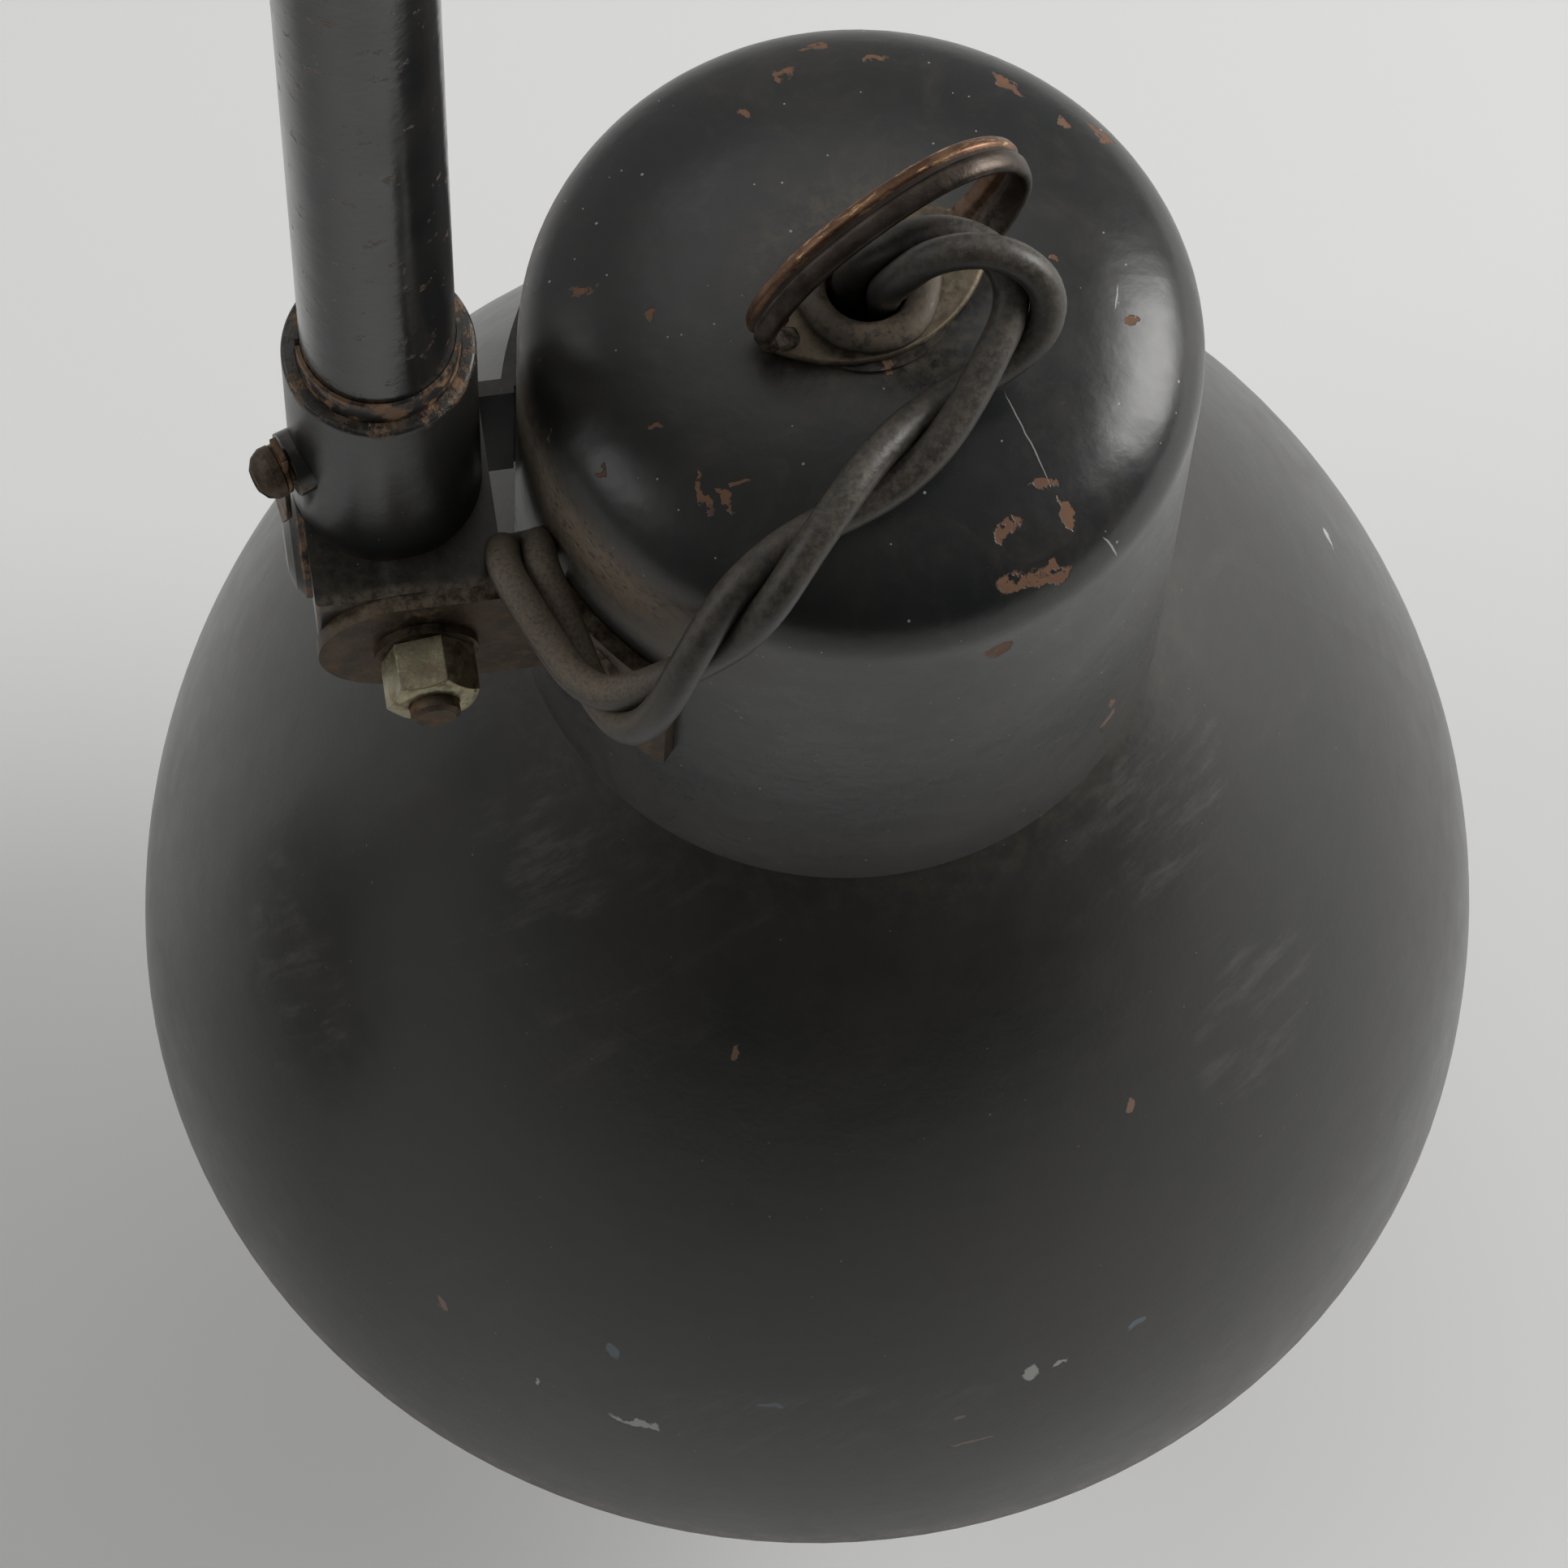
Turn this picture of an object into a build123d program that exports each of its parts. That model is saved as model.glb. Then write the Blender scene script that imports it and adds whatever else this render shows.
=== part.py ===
from build123d import *
import math
import os

# Architect desk lamp, in millimetres. +Z is up, the origin is the centre of the base on the desk.
# At rest the lower arm leans towards +X and the upper arm hangs straight down to the head.
# Every hinge turns about an axis along Y.

# ---------------------------------------------------------------- driving dimensions
SHOULDER_Z = 150.0        # shoulder pivot above the desk
ARM_REACH = 350.0         # elbow and head are this far in front of the post
ELBOW_Z = 545.0           # elbow pivot above the desk
COLLAR_Z = 285.0          # top ring of the head's collar above the desk

TUBE_R = 9.0              # arm tubes
TUBE_WALL = 1.2
SLEEVE_R = 11.25          # collars that hold the tubes
SLEEVE_LENGTH = 36.0
SLIP = 0.05               # radial play of a turning or sliding fit
BUSH_WALL = 0.5           # thin bush between the upper tube and the head's collar
BUSH_STANDS = 4.0         # how far the bush stands out of the collar

BOLT_R = 3.0              # pivot bolts, M6
HEX_ACROSS = 10.0
NUT_THICK = 6.6
BOLT_SHOWS = 1.8          # how far the bolt stands out of its nut
HEAD_THICK = 4.0
WASHER_R = 6.25
WASHER_THICK = 1.2

EAR_R = 10.75             # round ends of hinge blocks and fork cheeks
BLOCK_HALF = 12.0         # half width of a plain hinge block
CHEEK_THICK = 2.5
CHEEK_GAP = 0.3
FORK_DEPTH = 34.0         # from the pivot to the bottom of a fork's slot

HEAD_PIVOT_X = 2.0        # the head's pivot, from the tube's axis
HEAD_PIVOT_DROP = 46.8    # and below the collar's top ring
HEAD_BLOCK = (-10.5, 12.0, -15.8, 8.4)   # the head's hinge block: X and Y limits
YOKE_THICK = 2.0
YOKE_R = 11.0             # half the height of the yoke arms
YOKE_END = -1.8           # centre of the front arm's round end, from the pivot

SHADE_OFFSET = 53.85      # shade axis in front of the head's pivot, before the lean
SHADE_RISE = 45.27        # top of the cap above the head's pivot
SHADE_LEAN = 1.0          # degrees
SHEET = 0.9
NECK_R = 40.24
DOME_HEIGHT = 16.0
DOME_POWER = 2.6
NECK_LENGTH = 82.2        # from the top of the cap to the start of the bell
BELL_R = 89.8
SHADE_HEIGHT = 196.9

SEAT_R = 10.2             # pressed ring round the cable hole
SEAT_HEIGHT = 0.4
NIPPLE_R = 6.0
HANGER_TURN = 22.0        # degrees, seen from above
HANGER_WIDTH = 3.9
LEAF_R = 18.0             # arcs of the hanger's leaf-shaped plate
PLATE_THICK = 1.0

BASE_R = 110.0
BASE_EDGE = 17.0          # top of the rim
BASE_TOP = 24.0           # top of the slope, where the boss starts
BOSS_R = 17.0
BOSS_TOP = 46.0
FELT_THICK = 2.0
PLATE_TOP = 4.0
POCKET_TOP = 13.0
POCKET_R = 46.0
SWITCH_Y = -62.0
SWITCH_SEAT = 22.2
SWITCH_REST = 11.0        # lean of the lever, in degrees

FLEX_R = 4.25             # two twisted cores, over both
CORE_R = 2.12

# ---------------------------------------------------------------- places worked out from them
HEAD = Vector(ARM_REACH, 0, COLLAR_Z)
PIVOT = HEAD + Vector(HEAD_PIVOT_X, 0, -HEAD_PIVOT_DROP)
ELBOW = Vector(ARM_REACH, 0, ELBOW_Z)
SHOULDER = Vector(0, 0, SHOULDER_Z)
ARM_LEAN = math.degrees(math.atan2(ARM_REACH, ELBOW_Z - SHOULDER_Z))
ARM_LENGTH = math.hypot(ARM_REACH, ELBOW_Z - SHOULDER_Z)
SLEEVE_START = 10.8       # a collar starts this far from its pivot

nodes = {}


def cylinder_between(start, end, radius):
    """A cylinder from one point to another."""
    start, end = Vector(start), Vector(end)
    plane = Plane(origin=start, z_dir=end - start)
    return extrude(plane * Circle(radius), (end - start).length)


def ring_between(start, end, outer, inner):
    return cylinder_between(start, end, outer) - cylinder_between(start, end, inner)


def box_between(low, high):
    size = Vector(high) - Vector(low)
    return Pos((Vector(high) + Vector(low)) * 0.5) * Box(size.X, size.Y, size.Z)


def turned(points):
    """A solid of revolution about Z from an outline of (radius, height) points."""
    outline = make_face(Plane.XZ * Polyline(*points, close=True))
    return revolve(outline, Axis.Z)


def ear(radius, length, y_low, y_high):
    """A flat bar along Z, rounded about the origin, and squared off `length` above it."""
    face = Plane.XZ * (Circle(radius) + Pos(0, length / 2) * Rectangle(2 * radius, length))
    return Pos(0, y_high, 0) * extrude(face, y_high - y_low)


def lock_screw(direction, height, seat, tip, slot_turn):
    """A round-head slotted screw that points at the Z axis, its head `seat` away from it."""
    shank = cylinder_between((tip, 0, 0), (seat + 0.3, 0, 0), 1.95)
    dome = Pos(seat, 0, 0) * Rot(0, 90, 0) * turned([(0, 0), (3.2, 0), (3.2, 1.1), (2.6, 2.2), (1.5, 2.9), (0, 3.1)])
    slot = Pos(seat + 3.1, 0, 0) * Rot(slot_turn, 0, 0) * Box(2.6, 0.9, 8)
    return Pos(0, 0, height) * Rot(0, 0, direction) * (shank + dome - slot)


def hex_prism(thick):
    """A hexagon along Z with its top corners turned down."""
    across = HEX_ACROSS / math.sqrt(3)
    prism = extrude(RegularPolygon(across, 6), thick)
    crown = turned([(0, 0), (across, 0), (across, thick - 0.75), (across - 1.3, thick), (0, thick)])
    return prism & crown


def pivot_fasteners(name, place, y_nut, y_head):
    """Bolt, two washers and nut across a pivot; the nut is on the -Y side."""
    nut_face = y_nut - WASHER_THICK
    head_face = y_head + WASHER_THICK
    end = nut_face - NUT_THICK - BOLT_SHOWS
    bolt = cylinder_between((0, end + 0.5, 0), (0, head_face, 0), BOLT_R)
    bolt += Pos(0, end + 0.5, 0) * Rot(90, 0, 0) * turned([(0, 0), (3, 0), (2.4, 0.5), (0, 0.5)])
    bolt += Pos(0, head_face, 0) * Rot(-90, 0, 0) * hex_prism(HEAD_THICK)
    nut = Pos(0, nut_face, 0) * Rot(90, 0, 0) * Rot(0, 0, 12) * hex_prism(NUT_THICK)
    nut -= cylinder_between((0, end, 0), (0, 0, 0), BOLT_R + 0.02)
    washers = [
        ring_between((0, y, 0), (0, y + WASHER_THICK, 0), WASHER_R, BOLT_R + 0.1)
        for y in (nut_face, y_head)
    ]
    nodes[name + "_bolt"] = place * bolt
    nodes[name + "_nut"] = place * nut
    nodes[name + "_washers"] = [place * washer for washer in washers]


def hinge_bracket(bore_r, limits, pivot_x, screw_direction, screw_drop):
    """A collar above a hinge block. Origin on the tube's axis at the height of the pivot."""
    x_low, x_high, y_low, y_high = limits
    top = SLEEVE_START + SLEEVE_LENGTH
    middle = Vector((x_low + x_high) / 2, 0, 0)
    body = box_between((x_low, y_low, 0), (x_high, y_high, SLEEVE_START))
    body += cylinder_between(middle + Vector(0, y_low, 0), middle + Vector(0, y_high, 0), (x_high - x_low) / 2)
    body = fillet(body.edges().filter_by(Axis.Z), 0.6)
    body += cylinder_between((0, 0, SLEEVE_START - 3), (0, 0, top), SLEEVE_R)
    body = fillet(body.edges().group_by(Axis.Z)[-1], 0.7)
    body -= box_between((-20, y_high, -20), (20, 20, YOKE_R + 0.7))
    seat = Rot(0, 0, screw_direction)
    body += Pos(0, 0, top - screw_drop) * seat * cylinder_between((bore_r + 0.4, 0, 0), (SLEEVE_R + 1.2, 0, 0), 4.0)
    body -= cylinder_between((0, 0, SLEEVE_START), (0, 0, top + 1), bore_r)
    body -= Pos(0, 0, top - screw_drop) * seat * cylinder_between((0, 0, 0), (SLEEVE_R + 2, 0, 0), 2.0)
    body -= Pos(pivot_x, 0, 0) * cylinder_between((0, -20, 0), (0, 20, 0), BOLT_R + SLIP)
    return body


def fork():
    """A fork that opens upwards, on a ferrule for the tube below. Origin at the pivot."""
    inner = BLOCK_HALF + CHEEK_GAP
    outer = inner + CHEEK_THICK
    body = box_between((-EAR_R, -outer, -FORK_DEPTH - 5), (EAR_R, outer, -FORK_DEPTH))
    body = fillet(body.edges().filter_by(Axis.Z), 2.0)
    for low, high in ((-outer, -inner), (inner, outer)):
        body += Rot(0, 180, 0) * ear(EAR_R, FORK_DEPTH + 2, low, high)
    body += cylinder_between((0, 0, -FORK_DEPTH - 28), (0, 0, -FORK_DEPTH - 3), SLEEVE_R)
    body -= cylinder_between((0, 0, -FORK_DEPTH - 29), (0, 0, -FORK_DEPTH - 5), TUBE_R + SLIP)
    body -= cylinder_between((0, -20, 0), (0, 20, 0), BOLT_R + SLIP)
    return body


def arm_tube(start, end):
    return ring_between(start, end, TUBE_R, TUBE_R - TUBE_WALL)


def base():
    """Cast base with a boss for the post and a pocket underneath, plate, felt and gland."""
    body = turned([
        (0, FELT_THICK), (BASE_R - 1, FELT_THICK), (BASE_R, FELT_THICK + 1), (BASE_R, BASE_EDGE - 3),
        (BASE_R - 0.8, BASE_EDGE - 1), (BASE_R - 2.8, BASE_EDGE), (30, BASE_TOP), (21, BASE_TOP + 1.5),
        (BOSS_R + 1, BASE_TOP + 5), (BOSS_R, BOSS_TOP - 1), (BOSS_R - 1, BOSS_TOP), (0, BOSS_TOP),
    ])
    body += cylinder_between((0, SWITCH_Y, 15), (0, SWITCH_Y, SWITCH_SEAT), 9.5)
    body -= cylinder_between((0, 0, FELT_THICK), (0, 0, PLATE_TOP), 88.3)
    body -= cylinder_between((0, 0, PLATE_TOP), (0, 0, POCKET_TOP), POCKET_R)
    body -= box_between((-13, SWITCH_Y - 10, PLATE_TOP), (13, 0, POCKET_TOP))
    body -= cylinder_between((0, 0, 16), (0, 0, BOSS_TOP), TUBE_R + SLIP)
    body -= cylinder_between((0, 0, POCKET_TOP), (0, 0, 16), 6.5)
    body -= cylinder_between((0, SWITCH_Y, POCKET_TOP), (0, SWITCH_Y, SWITCH_SEAT), 5.95)
    body -= cylinder_between((-BASE_R, 0, 9), (-POCKET_R + 5, 0, 9), 3.6)
    body -= cylinder_between((0, 0, 37), (0, BOSS_R + 2, 37), 2.0)

    plate = cylinder_between((0, 0, FELT_THICK), (0, 0, PLATE_TOP), 88)
    felt = cylinder_between((0, 0, 0), (0, 0, FELT_THICK), BASE_R - 4)
    screws = []
    for angle in (30, 150, 270):
        place = Rot(0, 0, angle) * Pos(84, 0, FELT_THICK)
        plate -= place * cylinder_between((0, 0, 0), (0, 0, 2), 2.05)
        body -= place * cylinder_between((0, 0, 2), (0, 0, 8), 1.95)
        felt -= place * cylinder_between((0, 0, -FELT_THICK), (0, 0, 0), 4.2)
        screw = turned([(0, -1.6), (3.2, -1.6), (3.8, -0.8), (3.8, 0), (1.9, 0), (1.9, 7.5), (0, 7.5)])
        screws.append(place * (screw - Pos(0, 0, -1.6) * Box(9, 0.9, 1.4)))
    nodes["base_casting"] = body
    nodes["base_plate"] = plate
    nodes["base_felt"] = felt
    nodes["base_plate_screws"] = screws

    gland = cylinder_between((-BASE_R - 3.5, 0, 9), (-BASE_R, 0, 9), 5.0)
    gland = fillet(gland.edges().group_by(Axis.X)[0], 1.5)
    gland += cylinder_between((-BASE_R, 0, 9), (-95, 0, 9), 3.55)
    gland -= cylinder_between((-BASE_R - 4, 0, 9), (-94, 0, 9), 2.4)
    nodes["cable_gland"] = gland
    nodes["post_lock_screw"] = lock_screw(90, 37, BOSS_R + 1.0, TUBE_R + 0.3, 20)


def switch():
    """Toggle switch through the front of the base."""
    place = Pos(0, SWITCH_Y, 0)
    body = box_between((-11, -7, PLATE_TOP + 0.4), (11, 7, POCKET_TOP))
    body = fillet(body.edges().filter_by(Axis.Z), 1.0)
    body += cylinder_between((0, 0, POCKET_TOP), (0, 0, SWITCH_SEAT + 4), 5.9)
    body -= cylinder_between((0, 0, SWITCH_SEAT - 4), (0, 0, SWITCH_SEAT + 5), 3.6)
    nodes["switch_body"] = place * body
    nut = extrude(RegularPolygon(8.6, 6), 2.2) - cylinder_between((0, 0, 0), (0, 0, 3), 5.92)
    nodes["switch_nut"] = place * Pos(0, 0, SWITCH_SEAT) * nut
    lever = cylinder_between((-2, 0, 0), (2, 0, 0), 2.6)
    lever += cylinder_between((0, 0, 0), (0, 0, 15.5), 1.45)
    lever += Pos(0, 0, 15.5) * Sphere(2.2)
    nodes["switch_lever"] = place * Pos(0, 0, SWITCH_SEAT - 0.8) * Rot(SWITCH_REST, 0, 0) * lever


def lower_linkage():
    """Post, shoulder, lower arm and elbow."""
    nodes["post_fork"] = Pos(SHOULDER) * fork()
    nodes["post_tube"] = arm_tube((0, 0, 16.3), (0, 0, SHOULDER_Z - FORK_DEPTH - 5.3))
    cheek = BLOCK_HALF + CHEEK_GAP + CHEEK_THICK
    pivot_fasteners("shoulder", Pos(SHOULDER), -cheek, cheek)

    lean = Pos(SHOULDER) * Rot(0, ARM_LEAN, 0)
    limits = (-EAR_R, EAR_R, -BLOCK_HALF, BLOCK_HALF)
    nodes["shoulder_bracket"] = lean * hinge_bracket(TUBE_R + SLIP, limits, 0, -90, 14)
    top = SLEEVE_START + SLEEVE_LENGTH
    nodes["shoulder_lock_screw"] = lean * lock_screw(-90, top - 14, SLEEVE_R + 1.3, TUBE_R + 0.1, 65)
    nodes["lower_tube"] = lean * arm_tube(
        (0, 0, SLEEVE_START + 0.3), (0, 0, ARM_LENGTH - FORK_DEPTH - 5.3))
    nodes["elbow_fork"] = lean * Pos(0, 0, ARM_LENGTH) * fork()
    pivot_fasteners("elbow", Pos(ELBOW), -cheek, cheek)

    hang = Pos(ELBOW) * Rot(180, 0, 0)
    nodes["elbow_bracket"] = hang * hinge_bracket(TUBE_R + SLIP, limits, 0, 90, 14)
    nodes["elbow_lock_screw"] = hang * lock_screw(90, top - 14, SLEEVE_R + 1.3, TUBE_R + 0.1, 110)
    tube_top = ELBOW_Z - SLEEVE_START - 0.3
    nodes["upper_tube"] = arm_tube(HEAD + Vector(0, 0, -SLEEVE_LENGTH + 1.5), (ARM_REACH, 0, tube_top))


def head_mount():
    """Collar that turns on the upper tube, with its block, plug, screw and leaf."""
    bush_r = TUBE_R + SLIP + BUSH_WALL
    bush = ring_between((0, 0, -SLEEVE_LENGTH + 2.5), (0, 0, BUSH_STANDS), bush_r, TUBE_R + SLIP)
    bush -= box_between((-12, -0.4, -40), (0, 0.4, 10))
    nodes["tube_bush"] = Pos(HEAD) * bush

    direction, drop = 199, 20.6
    frame = Pos(HEAD) * Pos(0, 0, -HEAD_PIVOT_DROP)
    body = hinge_bracket(bush_r + SLIP, HEAD_BLOCK, HEAD_PIVOT_X, direction, drop)
    wire_hole = cylinder_between((4, 0, 0), (20, 0, 0), 4.4)
    body -= Pos(0, -9.5, 5.8) * wire_hole
    body -= cylinder_between((2, -4.2, 8.3), (2, -4.2, SLEEVE_START), 6.0)
    nodes["head_bracket"] = frame * body

    height = SLEEVE_START + SLEEVE_LENGTH - drop
    nodes["head_lock_screw"] = frame * lock_screw(direction, height, SLEEVE_R + 2.6, bush_r + 0.35, 75)

    outline = make_face(Polyline((-1.7, 5.5), (1.7, 5.5), (1.7, -11), (0, -15.5), (-1.7, -11), close=True))
    leaf = extrude(Plane.YZ * (outline + Circle(3.1)), 0.8)
    leaf -= cylinder_between((-1, 0, 0), (2, 0, 0), 2.0)
    nodes["lock_leaf"] = frame * Pos(0, 0, height) * Rot(0, 0, direction) * Pos(SLEEVE_R + 1.75, 0, 0) * leaf

    plug = Pos(HEAD_BLOCK[0], -4.6, 3.8) * Rot(0, -90, 0) * turned(
        [(0, 0), (6.4, 0), (6.3, 0.7), (5.2, 1.7), (3.2, 2.4), (0, 2.7)])
    plug -= cylinder_between((0, 0, 5), (0, 0, 15), SLEEVE_R + 0.05)
    nodes["bracket_plug"] = frame * plug


def leaning(solid):
    """Everything on the shade leans a little about the head's pivot."""
    return Pos(PIVOT) * Rot(0, SHADE_LEAN, 0) * solid


def yoke_arm(y_inner, y_outer, x_end, end_angle):
    """Flat bar from the pivot to the neck and round it. Origin at the pivot."""
    low, high = min(y_inner, y_outer), max(y_inner, y_outer)
    middle = (low + high) / 2
    side = math.copysign(1, middle)
    inner_r = NECK_R + 0.05
    meets = math.degrees(math.asin(middle / (inner_r + YOKE_THICK / 2)))
    start_angle = 180 - meets
    bar = Pos(x_end, 0, 0) * Rot(0, 90, 0) * ear(YOKE_R, 30, low, high)
    bar -= cylinder_between((SHADE_OFFSET, 0, -20), (SHADE_OFFSET, 0, 20), inner_r)
    bar -= box_between((SHADE_OFFSET - inner_r * math.cos(math.radians(meets)) - 0.4, low - 1, -20), (40, high + 1, 20))
    band = ring_between((0, 0, -YOKE_R), (0, 0, YOKE_R), inner_r + YOKE_THICK, inner_r)
    reach = 2 * NECK_R
    wedge = extrude(make_face(Polyline(
        (0, 0),
        (reach * math.cos(math.radians(start_angle)), reach * math.sin(math.radians(start_angle))),
        (reach * math.cos(math.radians(180 + side * -25)), reach * math.sin(math.radians(180 + side * -25))),
        (reach * math.cos(math.radians(end_angle)), reach * math.sin(math.radians(end_angle))),
        close=True)), 60, both=True)
    band = Pos(SHADE_OFFSET, 0, 0) * (band & wedge)
    return bar + band


def yoke():
    """Two arms that carry the shade on the head's block, and the rivets through the neck."""
    front = yoke_arm(HEAD_BLOCK[2], HEAD_BLOCK[2] - YOKE_THICK, YOKE_END, 230)
    rear = yoke_arm(HEAD_BLOCK[3], HEAD_BLOCK[3] + YOKE_THICK, 0, 130)
    bore = cylinder_between((0, -20, 0), (0, 20, 0), BOLT_R + SLIP)
    rivets = []
    for angle in (217, 143):
        for height in (-5.5, 5.5):
            place = Pos(SHADE_OFFSET, 0, height) * Rot(0, 0, angle)
            outer = NECK_R + 0.05 + YOKE_THICK
            shank = cylinder_between((NECK_R - SHEET - 0.6, 0, 0), (outer, 0, 0), 1.5)
            head = Pos(outer, 0, 0) * Rot(0, 90, 0) * turned([(0, -0.1), (2.8, -0.1), (2.4, 0.7), (1.4, 1.3), (0, 1.5)])
            tail = cylinder_between((NECK_R - SHEET - 1, 0, 0), (NECK_R - SHEET - 0.1, 0, 0), 2.4)
            hole = cylinder_between((NECK_R - 5, 0, 0), (outer + 5, 0, 0), 1.5)
            rivets.append(place * (shank + head + tail))
            front -= place * hole
            rear -= place * hole
            front -= place * Pos(outer, 0, 0) * cylinder_between((-0.1, 0, 0), (1, 0, 0), 2.8)
            rear -= place * Pos(outer, 0, 0) * cylinder_between((-0.1, 0, 0), (1, 0, 0), 2.8)
            nodes["shade_cap"] -= leaning(place * hole)
    nodes["yoke_front"] = leaning(front - bore)
    nodes["yoke_rear"] = leaning(rear - bore)
    nodes["yoke_rivets"] = [leaning(rivet) for rivet in rivets]
    pivot_fasteners("pivot", Pos(PIVOT), HEAD_BLOCK[2] - YOKE_THICK, HEAD_BLOCK[3] + YOKE_THICK)


def dome_outline(inset):
    """Points of the dome from its top to the straight neck, as (radius, height)."""
    points = []
    steps = 10
    for i in range(steps + 1):
        t = math.pi / 2 * i / steps
        radius = (NECK_R - inset) * math.sin(t) ** (2 / DOME_POWER)
        height = (DOME_HEIGHT - inset) * (math.cos(t) ** (2 / DOME_POWER) - 1) - inset
        points.append((radius, height))
    return points


def shade():
    """Drawn cap and spun bell. Origin of the outlines: the top of the cap."""
    place = Pos(SHADE_OFFSET, 0, SHADE_RISE)
    outer, inner = dome_outline(0), dome_outline(SHEET)
    outline = make_face(Plane.XZ * (
        Spline(*outer, tangents=[(1, 0), (0, -1)])
        + Line(outer[-1], (NECK_R, -NECK_LENGTH))
        + Line((NECK_R, -NECK_LENGTH), (NECK_R - SHEET, -NECK_LENGTH))
        + Line((NECK_R - SHEET, -NECK_LENGTH), inner[-1])
        + Spline(*reversed(inner), tangents=[(0, 1), (-1, 0)])
        + Line(inner[0], outer[0])))
    cap = revolve(outline, Axis.Z)
    cap += cylinder_between((0, 0, -0.5), (0, 0, SEAT_HEIGHT), SEAT_R)
    cap -= cylinder_between((0, 0, -3), (0, 0, 3), NIPPLE_R + SLIP)
    nodes["shade_cap"] = leaning(place * cap)

    waist = -(NECK_LENGTH + SHADE_HEIGHT) / 2
    start = -NECK_LENGTH - 0.02
    upstand_r = NECK_R - SHEET - 0.04
    step = start - 1.3
    outside = Bezier((NECK_R, start), (BELL_R, waist), (BELL_R, -SHADE_HEIGHT))
    rim = Line((BELL_R, -SHADE_HEIGHT), (BELL_R - SHEET, -SHADE_HEIGHT))
    inside = Bezier((BELL_R - SHEET, -SHADE_HEIGHT), (BELL_R - SHEET, waist), (NECK_R, step))
    upstand = Polyline((NECK_R, step), (upstand_r - SHEET, step), (upstand_r - SHEET, start + 9),
                       (upstand_r, start + 9), (upstand_r, start), (NECK_R, start))
    bell = revolve(make_face(Plane.XZ * (outside + rim + inside + upstand)), Axis.Z)
    nodes["shade_bell"] = leaning(place * bell)


def hanger_and_grommet():
    """Bent strap on its leaf-shaped plate, and the rubber ring round the cable hole."""
    outside = Spline((-11.5, 0), (-15.2, 3), (-13.4, 10.5), (-6, 18.2), (3, 22.1), (11, 22.8), (17.8, 17.5),
                     (20.2, 10), (15.5, 0))
    inside = Spline((14.3, 1), (18.5, 10), (16.3, 16.7), (10.6, 21.1), (3.4, 20.4), (-5.1, 16.7), (-11.9, 9.9),
                    (-13.5, 3.4), (-10.6, 1))
    strap = make_face(Plane.XZ * (outside + Line((15.5, 0), (14.3, 1)) + inside + Line((-10.6, 1), (-11.5, 0))))
    plate = extrude(Pos(1.2, -LEAF_R / 2) * Circle(LEAF_R) & Pos(1.2, LEAF_R / 2) * Circle(LEAF_R), PLATE_THICK)
    hanger = Rot(0, 0, HANGER_TURN) * (extrude(strap, HANGER_WIDTH / 2, both=True) + plate)
    hanger -= cylinder_between((0, 0, -1), (0, 0, 2), NIPPLE_R + SLIP)
    place = Pos(SHADE_OFFSET, 0, SHADE_RISE + SEAT_HEIGHT)
    nodes["hanger"] = leaning(place * hanger)

    ring = make_face(Plane.XZ * Polyline(
        (NIPPLE_R + 0.03, PLATE_THICK + 0.02), (8.0, PLATE_THICK + 0.02), (8.3, 1.8), (7.9, 2.6), (6.9, 3.0),
        (5.7, 2.8), (4.95, 2.1), (4.95, 1.4), (NIPPLE_R + 0.03, 1.4), close=True))
    nodes["grommet"] = leaning(place * revolve(ring, Axis.Z))


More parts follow.
